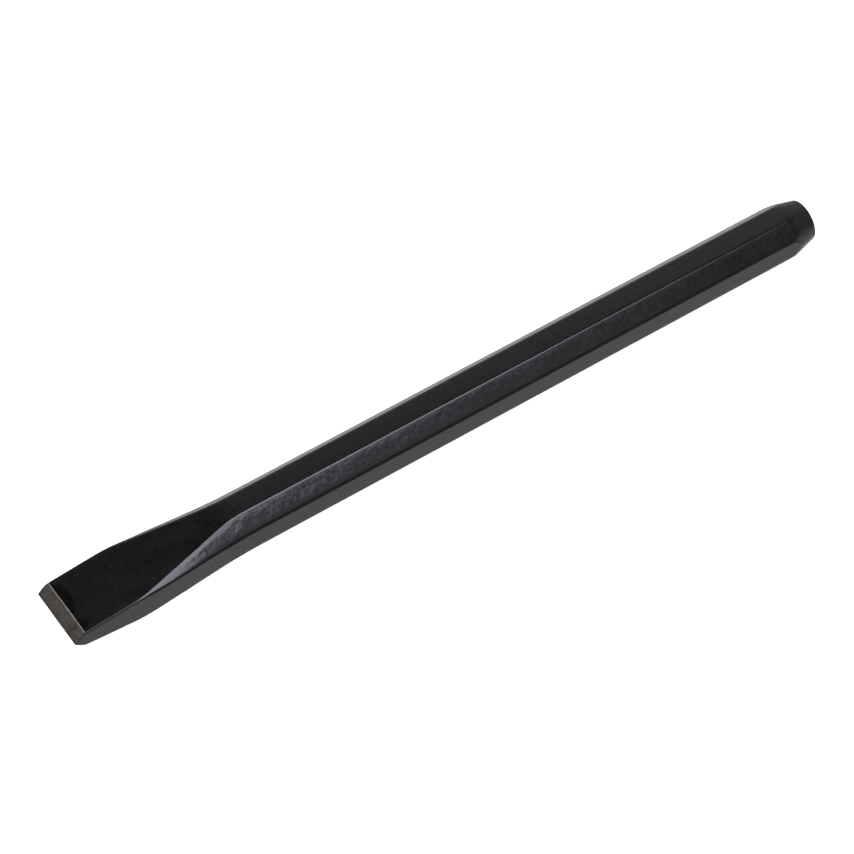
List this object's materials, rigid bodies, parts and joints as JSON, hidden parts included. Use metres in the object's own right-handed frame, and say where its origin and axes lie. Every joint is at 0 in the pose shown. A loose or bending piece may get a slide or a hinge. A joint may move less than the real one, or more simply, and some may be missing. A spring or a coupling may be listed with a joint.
{
  "type": "cold chisel",
  "caption": "Forged octagonal cold chisel in black paint, with a flat hollow-tapered blade, ground convex bevels and a coned struck end.",
  "frame": {"origin": "on the surface that the chisel lies on, under the middle of its overall box: the shank's lower flat is at z = 0 and the shank's axis is straight above the X axis", "axes": "+X runs along the shank towards the struck face, so the cutting edge is at the -X end and lies along Y; +Z is square to the broad faces of the blade, away from the surface; +Y completes the right-handed frame"},
  "size_m": [0.305, 0.0254, 0.0189],
  "materials": {
    "tool_steel": "bare tool steel, finely ground across the bevels",
    "black_paint": "thin semi-gloss black paint over a rolled and forged surface"
  },
  "bodies": {
    "root": {"forged_body": "tool_steel", "black_coating": "black_paint"}
  },
  "joints": []
}
